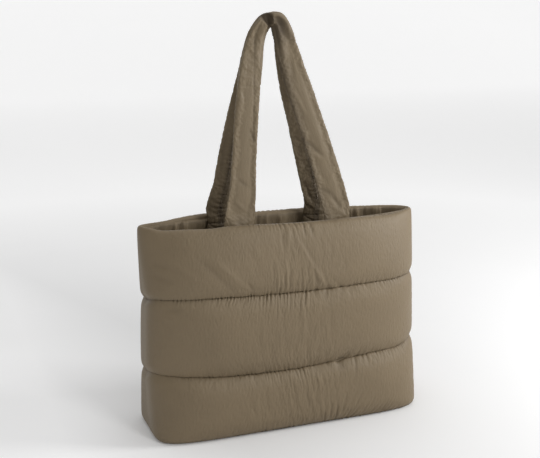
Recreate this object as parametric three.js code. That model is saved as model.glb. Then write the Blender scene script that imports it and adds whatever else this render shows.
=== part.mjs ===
// A quilted tote bag: front and back panels of three padded bands each, a base panel,
// a lining, and two padded straps sewn inside the rim and hanging together at their tops.
// Millimetres, +Z up. The origin is on the floor under the middle of the bag, whose front faces -Y.

import * as THREE from "three";

// Body
const bagHeight = 310; // floor to the crest of the rim
const bagWidth = 434; // across the side seams at the rim
const bagDepth = 131; // front to back at the lower quilting line
const mouthDepth = 84; // front to back between the crests of the rim
const outerPuff = 12; // how far a band swells out past its quilting lines
const innerPuff = 4; // how far the same band swells in
const sidePuff = 0.25; // share of the swelling that is left at the side seams
const sideFade = 150; // length over which the swelling fades towards a side seam
const puffSquareness = 2.6; // 2 swells as an ellipse, more keeps the band flatter
const quiltedWall = 6; // wall at a quilting line
const rimWall = 8; // wall at the rounded rim, before its own swelling
const rimRound = 9; // height of the rim's rounding
const rimRows = 3; // rows over the rounding
const seamGap = 0.3; // between panels sewn to each other

// Base
const basePadding = 12;
const baseBevel = 2;
const footGap = 0.6; // the panels end this far above the floor
const footRoll = 6; // how far the panels turn under at the floor
const footHeight = 12; // height over which they turn under

// Lining
const liningWall = 1.6;
const liningGap = 0.7; // between the lining and the padding behind it
const liningDrop = 1; // the lining ends this far below the shoulder of the rim

// Straps
const strapSpacing = 157; // between the middles of a strap's two ends
const strapRise = 299; // rim crest to the top of the straps
const strapWidth = 43;
const strapEndWall = 5; // the flat stitched end
const strapPadding = 15; // thickness along the padded legs
const strapTail = 38; // length sewn inside the rim
const strapTailGap = 0.6; // between the end and the lining
const strapPairGap = 1.2; // between the two straps where they hang together
const backEndShift = -7; // how far the back strap's ends lie to the right of the front one's
const backTopShift = 15; // how far its top hangs to the right of the front one's

// Facets
const columns = 28; // from side seam to side seam on one panel
const turnLength = 45; // extra length that a full radian of bend counts for when columns are shared out
const strapSteps = 42;
const strapTurnLength = 60;
const strapSides = 12;
const fineSteps = 400;

// Sections of the body from the floor to the rim, at the quilting lines between them. height and lift are
// shares of bagHeight, width of bagWidth, and depth of the size named depthOf. lift is how far the line rises
// towards the side seams. faceCurve and endCurve square off the outline's faces and ends: 2 is an ellipse.
const sections = [
  { height: 0.0, width: 0.995, depthOf: bagDepth, depth: 1.04, faceCurve: 11, endCurve: 3.8, lift: 0 },
  { height: 0.299, width: 0.995, depthOf: bagDepth, depth: 1.0, faceCurve: 2.9, endCurve: 3.5, lift: 0.03 },
  { height: 0.675, width: 0.976, depthOf: bagDepth, depth: 0.95, faceCurve: 3.2, endCurve: 3.4, lift: 0.014 },
  { height: 1.0, width: 1.0, depthOf: mouthDepth, depth: 1.0, faceCurve: 2.6, endCurve: 2.1, lift: 0 },
];

// Where each band has its rows, as shares of the band's height.
const outerRows = [0, 0.04, 0.16, 0.38, 0.62, 0.84, 0.96];
const innerRows = [0, 0.3, 0.7];

// A strap's course from its left end to its right end. rise is a share of strapRise above the rim crest, across a
// share of half strapSpacing, width a share of strapWidth, and thick a share of strapPadding.
const strapCourse = [
  { rise: 0.04, across: -0.975, width: 0.99, thick: 0.45 },
  { rise: 0.16, across: -0.89, width: 0.87, thick: 0.85 },
  { rise: 0.345, across: -0.83, width: 0.79, thick: 1.0 },
  { rise: 0.6, across: -0.735, width: 0.76, thick: 1.0 },
  { rise: 0.76, across: -0.65, width: 0.72, thick: 1.05 },
  { rise: 0.87, across: -0.565, width: 0.62, thick: 1.15 },
  { rise: 0.925, across: -0.49, width: 0.54, thick: 1.3 },
  { rise: 0.962, across: -0.36, width: 0.49, thick: 1.4 },
  { rise: 0.965, across: -0.17, width: 0.49, thick: 1.4 },
  { rise: 0.92, across: -0.06, width: 0.58, thick: 1.3 },
  { rise: 0.83, across: 0.04, width: 0.7, thick: 1.15 },
  { rise: 0.66, across: 0.25, width: 0.78, thick: 1.05 },
  { rise: 0.43, across: 0.545, width: 0.8, thick: 1.0 },
  { rise: 0.22, across: 0.81, width: 0.87, thick: 0.9 },
  { rise: 0.04, across: 0.98, width: 0.99, thick: 0.45 },
];

const materials = {
  shell: new THREE.MeshStandardMaterial({ color: 0x84745c, roughness: 0.62, metalness: 0 }),
  lining: new THREE.MeshStandardMaterial({ color: 0x7a6b55, roughness: 0.7, metalness: 0 }),
};

// A value of a table at a height or along a course, on straight lines between its rows.
function between(table, place, at, value) {
  let i = 0;
  while (i < table.length - 2 && at > table[i + 1][place]) i += 1;
  const low = table[i];
  const high = table[i + 1];
  const share = Math.min(1, Math.max(0, (at - low[place]) / (high[place] - low[place])));
  return value(low) * (1 - share) + value(high) * share;
}

function sectionAt(height) {
  const read = (value) => between(sections, "height", height, value);
  return {
    halfWidth: read((row) => (row.width * bagWidth) / 2),
    halfDepth: read((row) => (row.depth * row.depthOf) / 2),
    faceCurve: read((row) => row.faceCurve),
    endCurve: read((row) => row.endCurve),
    lift: read((row) => row.lift * bagHeight),
  };
}

// The outward direction of a section at one of its points.
function outward(section, x, y) {
  const across = Math.abs(x / section.halfWidth) ** (section.faceCurve - 1) / section.halfWidth;
  const along = Math.abs(y / section.halfDepth) ** (section.endCurve - 1) / section.halfDepth;
  const direction = new THREE.Vector2(
    Math.sign(x) * section.faceCurve * across,
    Math.sign(y) * section.endCurve * along,
  );
  return direction.normalize();
}

// Shares a fine row of samples out again so that bends get more of them. weigh gives the length of one step.
function shareOut(samples, count, weigh, mix) {
  const lengths = [0];
  for (let i = 1; i < samples.length; i += 1) {
    lengths.push(lengths[i - 1] + weigh(samples[i - 1], samples[i]));
  }
  const total = lengths[lengths.length - 1];
  const shared = [];
  let i = 1;
  for (let k = 0; k <= count; k += 1) {
    const wanted = (total * k) / count;
    while (i < lengths.length - 1 && lengths[i] < wanted) i += 1;
    const share = (wanted - lengths[i - 1]) / (lengths[i] - lengths[i - 1] || 1);
    shared.push(mix(samples[i - 1], samples[i], Math.min(1, Math.max(0, share))));
  }
  return shared;
}

// The front half of the body's outline at a height, from the left side seam to the right one.
function frontOutline(height) {
  const section = sectionAt(height);
  const samples = [];
  for (let i = 0; i <= fineSteps; i += 1) {
    const angle = (Math.PI * (1 - Math.cos((Math.PI * i) / fineSteps))) / 2;
    const x = -Math.sign(Math.cos(angle)) * Math.abs(Math.cos(angle)) ** (2 / section.faceCurve);
    const y = -(Math.sin(angle) ** (2 / section.endCurve));
    const point = new THREE.Vector2(x * section.halfWidth, y * section.halfDepth);
    const normal = i === 0 || i === fineSteps
      ? new THREE.Vector2(Math.sign(x), 0)
      : outward(section, point.x, point.y);
    samples.push({ point, normal });
  }
  const weigh = (a, b) => {
    const turn = Math.acos(Math.min(1, a.normal.dot(b.normal)));
    return a.point.distanceTo(b.point) + turnLength * turn;
  };
  const mix = (a, b, share) => ({
    point: a.point.clone().lerp(b.point, share),
    normal: a.normal.clone().lerp(b.normal, share).normalize(),
  });
  const outline = shareOut(samples, columns, weigh, mix);
  // The distance from the nearer side seam, for fading the padding there.
  let along = 0;
  const lengths = outline.map((step, i) => {
    if (i > 0) along += step.point.distanceTo(outline[i - 1].point);
    return along;
  });
  outline.forEach((step, i) => {
    step.toSeam = Math.min(lengths[i], along - lengths[i]);
    step.rise = section.lift * (step.point.x / section.halfWidth) ** 2;
  });
  return outline;
}

const foot = footGap / bagHeight;
const floorTop = (basePadding + seamGap) / bagHeight;
const shoulder = 1 - rimRound / bagHeight;

function bandShare(height) {
  let i = 0;
  while (i < sections.length - 2 && height >= sections[i + 1].height) i += 1;
  const low = sections[i].height;
  return { band: i, share: (height - low) / (sections[i + 1].height - low) };
}

// 0 at the upper quilting line and below it, 1 at the crest of the rim.
function towardsRim(height) {
  const { band, share } = bandShare(height);
  return band === sections.length - 2 ? share : 0;
}

function swelling(height, toSeam) {
  const { share } = bandShare(height);
  const full = (1 - Math.abs(2 * share - 1) ** puffSquareness) ** (1 / puffSquareness);
  const fade = Math.sin((Math.PI / 2) * Math.min(1, toSeam / sideFade)) ** 2;
  return full * (sidePuff + (1 - sidePuff) * fade);
}

// How far the padding's outer and inner faces lie outside the body's outline at a height.
function outerOffset(height, toSeam) {
  const above = height * bagHeight - footGap;
  const turnedUnder = Math.max(0, 1 - above / footHeight) ** 2;
  const wall = (rimWall / 2) * towardsRim(height);
  return outerPuff * swelling(height, toSeam) + wall - footRoll * turnedUnder;
}

function innerOffset(height, toSeam) {
  const above = Math.max(height, floorTop);
  const wall = quiltedWall + (rimWall / 2 - quiltedWall) * towardsRim(above);
  return -wall - innerPuff * swelling(above, toSeam);
}

// The rim's rounding, from the outer face at 0 to the inner face at half a turn.
function rimOffset(angle, toSeam) {
  const [out, inside] = [outerOffset(shoulder, toSeam), innerOffset(shoulder, toSeam)];
  return (out + inside) / 2 + ((out - inside) / 2) * Math.cos(angle);
}

// The body's wall as columns of the front half, with its faces moved in or out by a function of height.
const outlines = new Map();
function wallPoint(height, column, offset) {
  if (!outlines.has(height)) outlines.set(height, frontOutline(height));
  const step = outlines.get(height)[column];
  const out = offset(height, step.toSeam);
  return new THREE.Vector3(
    step.point.x + step.normal.x * out,
    step.point.y + step.normal.y * out,
    height * bagHeight + step.rise,
  );
}

function rowHeights(shares, from, to) {
  const heights = [];
  sections.slice(0, -1).forEach((section, i) => {
    const band = sections[i + 1].height - section.height;
    shares.forEach((share) => heights.push(section.height + share * band));
  });
  return heights.filter((height) => height > from && height < to);
}

const rowMargin = 2 / bagHeight; // rows keep at least this far from the ends of a wall
const outerHeights = [foot, ...rowHeights(outerRows, foot + rowMargin, shoulder - rowMargin), shoulder];
const innerHeights = [floorTop, ...rowHeights(innerRows, floorTop + rowMargin, shoulder - rowMargin), shoulder];

// Triangles over a closed flat-ish ring, facing along its own right-hand normal.
function capTriangles(ring) {
  const centre = ring.reduce((sum, p) => sum.add(p), new THREE.Vector3()).divideScalar(ring.length);
  const normal = new THREE.Vector3();
  ring.forEach((p, i) => {
    const a = p.clone().sub(centre);
    const b = ring[(i + 1) % ring.length].clone().sub(centre);
    normal.add(a.cross(b));
  });
  normal.normalize();
  const side = new THREE.Vector3(1, 0, 0);
  if (Math.abs(normal.x) > Math.abs(normal.z)) side.set(0, 0, 1);
  const u = side.cross(normal).normalize();
  const v = normal.clone().cross(u);
  const flat = ring.map((p) => new THREE.Vector2(p.clone().sub(centre).dot(u), p.clone().sub(centre).dot(v)));
  return THREE.ShapeUtils.triangulateShape(flat, []).map(([a, b, c]) => {
    const area = flat[b].clone().sub(flat[a]).cross(flat[c].clone().sub(flat[a]));
    return area > 0 ? [a, b, c] : [a, c, b];
  });
}

// A solid through rings of equal count, closed by a flat cap on its first and last ring.
function loft(rings) {
  const count = rings[0].length;
  const points = rings.flat();
  const faces = [];
  for (let i = 0; i < rings.length - 1; i += 1) {
    for (let j = 0; j < count; j += 1) {
      const next = (j + 1) % count;
      const [a, b] = [i * count + j, i * count + next];
      const [c, d] = [a + count, b + count];
      // The shorter diagonal, so that faces that lie along each other are split alike.
      const straight = points[a].distanceTo(points[d]) <= points[b].distanceTo(points[c]);
      faces.push(...(straight ? [[a, b, d], [a, d, c]] : [[a, b, c], [b, d, c]]));
    }
  }
  const last = (rings.length - 1) * count;
  capTriangles(rings[0]).forEach(([a, b, c]) => faces.push([a, c, b]));
  capTriangles(rings[rings.length - 1]).forEach(([a, b, c]) => faces.push([last + a, last + b, last + c]));
  const volume = faces.reduce((sum, [a, b, c]) => sum + points[a].dot(points[b].clone().cross(points[c])), 0);
  const outwards = volume > 0 ? faces : faces.map(([a, b, c]) => [a, c, b]);
  const geometry = new THREE.BufferGeometry();
  geometry.setAttribute("position", new THREE.Float32BufferAttribute(points.flatMap((p) => [p.x, p.y, p.z]), 3));
  geometry.setIndex(outwards.flat());
  geometry.computeVertexNormals();
  return geometry;
}

// A horizontal ring right round the body: the front half, and the same points mirrored for the back.
function fullRing(height, offset) {
  const front = [];
  for (let column = 0; column <= columns; column += 1) front.push(wallPoint(height, column, offset));
  const back = front.slice(1, -1).reverse().map((p) => new THREE.Vector3(p.x, -p.y, p.z));
  return [...front, ...back];
}

// One panel: each column is a closed loop up the outer face, over the rim and down the inner face.
function panel(facing) {
  const rings = [];
  for (let column = 0; column <= columns; column += 1) {
    const loop = outerHeights.map((height) => wallPoint(height, column, outerOffset));
    for (let k = 1; k <= rimRows; k += 1) {
      const angle = (Math.PI * k) / (rimRows + 1);
      const height = shoulder + (rimRound / bagHeight) * Math.sin(angle);
      loop.push(wallPoint(height, column, (_, toSeam) => rimOffset(angle, toSeam)));
    }
    [...innerHeights].reverse().forEach((height) => loop.push(wallPoint(height, column, innerOffset)));
    loop.push(wallPoint(foot, column, innerOffset));
    loop.forEach((p) => {
      p.y = facing * (p.y - seamGap / 2);
    });
    rings.push(loop);
  }
  return loft(rings);
}

function basePanel() {
  const edge = (inset, z) => {
    const ring = fullRing(z / bagHeight, (height, toSeam) => innerOffset(height, toSeam) - seamGap - inset);
    return ring.map((p) => p.setZ(z));
  };
  return loft([
    edge(baseBevel, 0),
    edge(0, baseBevel),
    edge(0, basePadding - baseBevel),
    edge(baseBevel, basePadding),
  ]);
}

function lining() {
  const outer = (height, toSeam) => innerOffset(height, toSeam) - liningGap;
  const inner = (height, toSeam) => outer(height, toSeam) - liningWall;
  const top = shoulder - liningDrop / bagHeight;
  const heights = [...innerHeights.slice(0, -1), top];
  const outside = heights.map((height) => fullRing(height, outer));
  const inside = [...heights].reverse().map((height) => fullRing(height, inner));
  const settle = (ring, z) => ring.forEach((p) => p.setZ(z));
  settle(outside[0], basePadding + seamGap);
  settle(inside[inside.length - 1], basePadding + seamGap + liningWall);
  return loft([...outside, ...inside]);
}

// The lining's inner face at a distance across the front, and the direction in towards the bag's middle.
function liningFace(x, z) {
  const height = z / bagHeight;
  const section = sectionAt(height);
  const y = -section.halfDepth * (1 - Math.abs(x / section.halfWidth) ** section.faceCurve) ** (1 / section.endCurve);
  const normal = outward(section, x, y);
  const depth = -innerOffset(height, sideFade) + liningGap + liningWall;
  return { point: new THREE.Vector3(x - normal.x * depth, y - normal.y * depth, z), normal };
}

// A strap's stations: its two flat ends against the lining, and its course over the top between them.
function strapStations(endShift, topShift) {
  const half = strapSpacing / 2;
  const topY = -(strapPadding * strapCourse[8].thick + strapPairGap) / 2;
  const end = (side, z) => {
    const face = liningFace(side * half + endShift, z);
    const away = strapTailGap + strapEndWall / 2;
    return {
      point: new THREE.Vector3(face.point.x - face.normal.x * away, face.point.y - face.normal.y * away, z),
      normal: new THREE.Vector3(face.normal.x, face.normal.y, 0),
      width: strapWidth,
      thick: strapEndWall,
    };
  };
  const tail = [bagHeight - strapTail, bagHeight - strapTail / 2, bagHeight - rimWall / 2];
  const left = tail.map((z) => end(-1, z));
  const right = tail.map((z) => end(1, z)).reverse();
  const rimY = left[left.length - 1].point.y;
  const course = strapCourse.map((row) => ({
    point: new THREE.Vector3(
      row.across * half + endShift + (topShift - endShift) * row.rise ** 2,
      rimY + (topY - rimY) * row.rise,
      bagHeight + row.rise * strapRise,
    ),
    normal: new THREE.Vector3(0, -1, 0),
    width: row.width * strapWidth,
    thick: row.thick * strapPadding,
  }));
  return [...left, ...course, ...right];
}

function strap(facing, endShift, topShift) {
  const stations = strapStations(endShift, topShift);
  const curve = new THREE.CatmullRomCurve3(stations.map((s) => s.point), false, "centripetal");
  const samples = [];
  const last = stations.length - 1;
  for (let i = 0; i <= fineSteps; i += 1) {
    const t = i / fineSteps;
    const low = Math.min(last - 1, Math.floor(t * last));
    const share = t * last - low;
    const [a, b] = [stations[low], stations[low + 1]];
    samples.push({
      point: curve.getPoint(t),
      tangent: curve.getTangent(t),
      normal: a.normal.clone().lerp(b.normal, share),
      width: a.width + (b.width - a.width) * share,
      thick: a.thick + (b.thick - a.thick) * share,
    });
  }
  const weigh = (a, b) => a.point.distanceTo(b.point) + strapTurnLength * a.tangent.angleTo(b.tangent);
  const mix = (a, b, share) => ({
    point: a.point.clone().lerp(b.point, share),
    tangent: a.tangent.clone().lerp(b.tangent, share).normalize(),
    normal: a.normal.clone().lerp(b.normal, share),
    width: a.width + (b.width - a.width) * share,
    thick: a.thick + (b.thick - a.thick) * share,
  });
  const rings = shareOut(samples, strapSteps, weigh, mix).map((step) => {
    const wide = step.tangent.clone().cross(step.normal).normalize();
    const deep = wide.clone().cross(step.tangent).normalize();
    const ring = [];
    for (let k = 0; k < strapSides; k += 1) {
      const angle = (2 * Math.PI * (k + 0.5)) / strapSides;
      const p = step.point.clone();
      p.addScaledVector(wide, ((step.width / 2) * Math.cos(angle)) / Math.cos(Math.PI / strapSides));
      p.addScaledVector(deep, ((step.thick / 2) * Math.sin(angle)) / Math.cos(Math.PI / strapSides));
      ring.push(new THREE.Vector3(p.x, facing * p.y, p.z));
    }
    return ring;
  });
  return loft(rings);
}

function piece(name, geometry, material) {
  const mesh = new THREE.Mesh(geometry, material);
  mesh.name = name;
  return mesh;
}

const front = 1;
const back = -1;
const bag = new THREE.Group();
bag.name = "quilted_tote_bag";
bag.add(piece("front_panel", panel(front), materials.shell));
bag.add(piece("back_panel", panel(back), materials.shell));
bag.add(piece("base_panel", basePanel(), materials.shell));
bag.add(piece("lining", lining(), materials.lining));
bag.add(piece("front_strap", strap(front, 0, 0), materials.shell));
bag.add(piece("back_strap", strap(back, backEndShift, backTopShift), materials.shell));

export default bag;
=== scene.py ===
import math

import bpy
import numpy as np
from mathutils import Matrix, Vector


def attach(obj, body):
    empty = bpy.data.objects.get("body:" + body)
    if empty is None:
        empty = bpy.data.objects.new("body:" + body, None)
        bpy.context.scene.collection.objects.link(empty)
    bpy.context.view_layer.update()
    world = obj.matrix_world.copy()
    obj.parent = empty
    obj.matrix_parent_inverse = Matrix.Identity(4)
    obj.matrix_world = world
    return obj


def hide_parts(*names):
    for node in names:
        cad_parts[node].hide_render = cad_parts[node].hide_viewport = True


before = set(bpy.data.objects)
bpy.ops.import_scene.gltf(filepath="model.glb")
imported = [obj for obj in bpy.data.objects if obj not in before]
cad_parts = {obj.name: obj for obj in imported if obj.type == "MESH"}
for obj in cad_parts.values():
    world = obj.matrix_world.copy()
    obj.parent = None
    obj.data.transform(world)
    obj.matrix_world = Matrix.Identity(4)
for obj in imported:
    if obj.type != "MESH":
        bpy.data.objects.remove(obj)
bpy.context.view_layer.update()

print("frame loaded:", ", ".join(sorted(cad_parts)))

# Camera, floor and light
camera = {"place": (-0.5067, -1.2917, 0.6203), "aim": (0.3445, 0.9097, -0.2317), "lens": 63.25}
studio = {
    "floorSize": 16.0,
    "backdropRise": 5.0,
    "world": 0.42,
}
lights = [
    # name, place, aim, size, power
    ("sideKey", (1.38, -0.46, 0.8), (0, 0, 0.2), 0.45, 15.5),
    ("frontKey", (0.55, -1.7, 1.2), (0, 0, 0.3), 0.5, 9.5),
    ("topLight", (0.1, 0.3, 2.6), (0, 0, 0), 2.0, 14),
]


def turnTo(direction):
    return Vector(direction).to_track_quat("-Z", "Y").to_euler()


def startFresh():
    if bpy.context.object and bpy.context.object.mode != "OBJECT":
        bpy.ops.object.mode_set(mode="OBJECT")
    bpy.ops.object.select_all(action="DESELECT")


def pick(piece):
    startFresh()
    piece.select_set(True)
    bpy.context.view_layer.objects.active = piece


startFresh()
bpy.ops.object.camera_add(location=camera["place"], rotation=turnTo(camera["aim"]))
photoCamera = bpy.context.object
photoCamera.name = "photoCamera"
photoCamera.data.sensor_width = 36
photoCamera.data.lens = camera["lens"]
bpy.context.scene.camera = photoCamera

startFresh()
bpy.ops.mesh.primitive_plane_add(size=studio["floorSize"], location=(0, 0, -0.0003))
floor = bpy.context.object
floor.name = "studioFloor"
bpy.ops.object.mode_set(mode="EDIT")
bpy.ops.mesh.select_all(action="DESELECT")
bpy.ops.object.mode_set(mode="OBJECT")
for edge in floor.data.edges:  # the far edge is drawn up into a backdrop
    edge.select = all(floor.data.vertices[i].co.y > 0 for i in edge.vertices)
bpy.ops.object.mode_set(mode="EDIT")
bpy.ops.mesh.extrude_region_move(TRANSFORM_OT_translate={"value": (0, 0, studio["backdropRise"])})
bpy.ops.object.mode_set(mode="OBJECT")
bpy.ops.object.modifier_add(type="BEVEL")
floor.modifiers[-1].width = 3.0
floor.modifiers[-1].segments = 16
bpy.ops.object.modifier_apply(modifier=floor.modifiers[-1].name)
bpy.ops.object.shade_smooth()

for name, place, aim, size, power in lights:
    startFresh()
    bpy.ops.object.light_add(type="AREA", location=place, rotation=turnTo(Vector(aim) - Vector(place)))
    light = bpy.context.object
    light.name = name
    light.data.energy = power
    light.data.size = size
world = bpy.data.worlds.new("studioWorld")
world.use_nodes = True
world.node_tree.nodes["Background"].inputs["Color"].default_value = (1, 1, 1, 1)
world.node_tree.nodes["Background"].inputs["Strength"].default_value = studio["world"]
bpy.context.scene.world = world
bpy.context.scene.view_settings.view_transform = "Standard"
print("camera, floor and lights placed")


# Shader sums: a Wire is one socket, and adding or multiplying it adds the Math node
class Wire:
    def __init__(self, finish, socket):
        self.finish = finish
        self.socket = socket

    def math(self, operation, first, second):
        return self.finish.node("ShaderNodeMath", {"operation": operation}, {0: first, 1: second})

    def __add__(self, other):
        return self.math("ADD", self, other)

    def __radd__(self, other):
        return self.math("ADD", other, self)

    def __sub__(self, other):
        return self.math("SUBTRACT", self, other)

    def __rsub__(self, other):
        return self.math("SUBTRACT", other, self)

    def __mul__(self, other):
        return self.math("MULTIPLY", self, other)

    def __rmul__(self, other):
        return self.math("MULTIPLY", other, self)


class Finish:
    def __init__(self, name):
        self.material = bpy.data.materials.new(name)
        self.material.use_nodes = True
        self.tree = self.material.node_tree
        self.shader = self.tree.nodes["Principled BSDF"]

    def node(self, kind, settings, sockets, out=0):
        made = self.tree.nodes.new(kind)
        for name, value in settings.items():
            if name == "stops":
                ramp = made.color_ramp
                while len(ramp.elements) < len(value):
                    ramp.elements.new(0.5)
                for element, (place, colour) in zip(ramp.elements, value):
                    element.position = place
                    element.color = colour
            else:
                setattr(made, name, value)
        for name, value in sockets.items():
            if isinstance(value, Wire):
                self.tree.links.new(value.socket, made.inputs[name])
            else:
                made.inputs[name].default_value = value
        return Wire(self, made.outputs[out])

    def noise(self, coords, scale, detail=2.0, roughness=0.5, stretch=(1, 1, 1)):
        place = self.node("ShaderNodeMapping", {}, {"Vector": coords, "Scale": stretch})
        sockets = {"Vector": place, "Scale": scale, "Detail": detail, "Roughness": roughness}
        return self.node("ShaderNodeTexNoise", {}, sockets)

    def mixColour(self, share, first, second, way="MIX"):
        settings = {"data_type": "RGBA", "blend_type": way}
        return self.node("ShaderNodeMix", settings, {0: share, 6: first, 7: second}, out=2)

    def feed(self, name, value):
        if isinstance(value, Wire):
            self.tree.links.new(value.socket, self.shader.inputs[name])
        else:
            self.shader.inputs[name].default_value = value


def clothFinish(name, look):
    finish = Finish(name)
    cloth = finish.node("ShaderNodeUVMap", {"uv_map": "cloth"}, {})
    crease = finish.node("ShaderNodeAttribute", {"attribute_name": "crease"}, {}, out=2)
    parts = finish.node("ShaderNodeSeparateXYZ", {}, {"Vector": cloth})
    across = parts
    along = Wire(finish, parts.socket.node.outputs[1])
    turn = 2 * math.pi / look["thread"]
    warp = finish.node("ShaderNodeMath", {"operation": "SINE"}, {0: across * turn})
    weft = finish.node("ShaderNodeMath", {"operation": "SINE"}, {0: along * turn})
    weave = warp * weft
    crinkle = finish.noise(cloth, look["crinkle"], 4.0, 0.6)
    # the gathers lean by the slide
    slide = finish.node("ShaderNodeAttribute", {"attribute_name": "slide"}, {}, out=2)
    leaning = finish.node("ShaderNodeVectorMath", {"operation": "SUBTRACT"}, {0: cloth, 1: slide})
    gathers = finish.noise(leaning, 230, 2.0, 0.55, (1, 0.2, 1))
    pucker = finish.node("ShaderNodeAttribute", {"attribute_name": "pucker"}, {}, out=2)
    slub = finish.noise(cloth, 90, 2.0, 0.6, (6.0, 1, 1))
    patch = finish.noise(cloth, 14, 3.0, 0.55)
    shade = (patch - 0.5) * look["patchiness"] + (slub - 0.5) * look["slub"] + weave * 0.02
    lit = finish.node("ShaderNodeMath", {"operation": "ADD", "use_clamp": True}, {0: shade, 1: 0.5})
    base = finish.mixColour(lit, look["dark"], look["light"])
    # Painted shade: the colour darkens towards the deep colour in folds, along sewn lines and in hollows, as
    # the point attribute gives
    shadedColour = finish.mixColour(crease * look["creaseShade"], base, look["deep"])
    finish.feed("Base Color", shadedColour)
    finish.feed("Roughness", look["roughness"] + (patch - 0.5) * 0.12 + crease * 0.1)
    height = weave * 0.00002 + crinkle * look["crinkleHeight"] + slub * 0.00004
    height = height + gathers * pucker * look["gatherHeight"]
    bump = finish.node("ShaderNodeBump", {}, {"Strength": 0.9, "Distance": 1.0, "Height": height})
    finish.feed("Normal", bump)
    finish.feed("Sheen Weight", look["sheen"])
    finish.feed("Sheen Roughness", 0.45)
    finish.feed("Specular IOR Level", look["gloss"])
    return finish.material


shellLook = {
    "light": (0.202, 0.151, 0.089, 1),
    "dark": (0.145, 0.107, 0.061, 1),
    # the colour of the painted shade
    "deep": (0.07, 0.051, 0.03, 1),
    "thread": 0.0007,
    "crinkle": 130,
    "crinkleHeight": 0.0002,
    "gatherHeight": 0.0013,
    "patchiness": 0.7,
    "slub": 0.35,
    "creaseShade": 0.5,
    "roughness": 0.58,
    "sheen": 0.05,
    "gloss": 0.4,
}
shellCloth = clothFinish("taupeNylon", shellLook)
# The lining is the shell's nylon painted a little lighter: painted light inside the bag
liningLook = dict(shellLook, light=(0.212, 0.159, 0.094, 1), dark=(0.152, 0.113, 0.065, 1))
liningCloth = clothFinish("liningNylon", liningLook)

# The straps are the shell's nylon painted darker: painted shade on straps that face the lamps
strapColours = {"light": (0.186, 0.14, 0.082, 1), "dark": (0.133, 0.099, 0.057, 1)}
strapLook = dict(shellLook, crinkleHeight=0.0003, **strapColours)
strapNylon = clothFinish("strapNylon", strapLook)

threadFinish = Finish("taupeThread")
threadCoords = threadFinish.node("ShaderNodeTexCoord", {}, {}, out=3)
threadNoise = threadFinish.noise(threadCoords, 900, 2.0)
threadColour = threadFinish.mixColour(threadNoise, (0.1, 0.075, 0.046, 1), (0.18, 0.14, 0.09, 1))
threadFinish.feed("Base Color", threadColour)
threadFinish.feed("Roughness", 0.6)
thread = threadFinish.material

floorFinish = Finish("palePaper")
floorCoords = floorFinish.node("ShaderNodeTexCoord", {}, {}, out=3)
floorGrain = floorFinish.noise(floorCoords, 3, 3.0)
floorFinish.feed("Base Color", floorFinish.mixColour(floorGrain, (0.78, 0.78, 0.78, 1), (0.8, 0.8, 0.8, 1)))
floorFinish.feed("Roughness", 0.85)
floorFinish.feed("Specular IOR Level", 0.1)
distance = floorFinish.node("ShaderNodeVectorMath", {"operation": "LENGTH"}, {0: floorCoords}, out=1)
# Painted light: the floor's own glow, zero near the bag and rising with distance
paintedLightStops = [
    (0.045, (0, 0, 0, 1)),
    (0.22, (0.36, 0.36, 0.36, 1)),
    (0.6, (0.44, 0.44, 0.44, 1)),
    (1.0, (0.52, 0.52, 0.52, 1)),
]
paintedFarLight = floorFinish.node("ShaderNodeValToRGB", {"stops": paintedLightStops}, {"Fac": distance * 0.125})
floorPlace = floorFinish.node("ShaderNodeSeparateXYZ", {}, {"Vector": floorCoords})
clamped = {"operation": "ADD", "use_clamp": True}
paintedLeftLight = floorFinish.node("ShaderNodeMath", clamped, {0: floorPlace * -4, 1: -0.35})
paintedFloorLight = floorFinish.mixColour(1.0, paintedFarLight, paintedLeftLight * 0.19, "LIGHTEN")
floorFinish.feed("Emission Color", paintedFloorLight)  # painted light: the floor and backdrop glow, none near the bag, more further out and towards the left
floorFinish.feed("Emission Strength", 1.0)
floor.data.materials.append(floorFinish.material)
print("materials made")


# How far each point of a grid lies along its row or column, and each point of a path along it
def runOver(grid, axis):
    steps = np.diff(grid, axis=axis, prepend=np.take(grid, [0], axis=axis))
    return np.cumsum(np.linalg.norm(steps, axis=2), axis=axis)


def runAlong(path):
    return np.concatenate([[0], np.cumsum(np.linalg.norm(np.diff(path, axis=0), axis=1))])


# Cloth pieces are grids: rows of points up the piece, each with the same number across
def gridPiece(name, points):
    rows, columns = points.shape[:2]
    startFresh()
    bpy.ops.mesh.primitive_grid_add(x_subdivisions=columns - 1, y_subdivisions=rows - 1, size=1)
    piece = bpy.context.object
    piece.name = name
    piece.location = (0, 0, 0)
    setPoints(piece, points)
    return piece


def setPoints(piece, points):
    piece.data.vertices.foreach_set("co", points.astype(np.float32).ravel())
    piece.data.update()


def getPoints(piece):
    flat = np.zeros(len(piece.data.vertices) * 3, np.float32)
    piece.data.vertices.foreach_get("co", flat)
    return flat.reshape(-1, 3).astype(float)


def gridNormals(points):
    across = np.gradient(points, axis=1)
    up = np.gradient(points, axis=0)
    normals = np.cross(across, up)
    return normals / np.maximum(np.linalg.norm(normals, axis=2, keepdims=True), 1e-12)


def weigh(piece, name, weights):
    group = piece.vertex_groups.new(name=name)
    levels = np.round(weights.ravel() * 25).astype(int)
    for level in np.unique(levels[levels > 0]):
        group.add(np.flatnonzero(levels == level).tolist(), float(level) / 25, "REPLACE")


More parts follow.
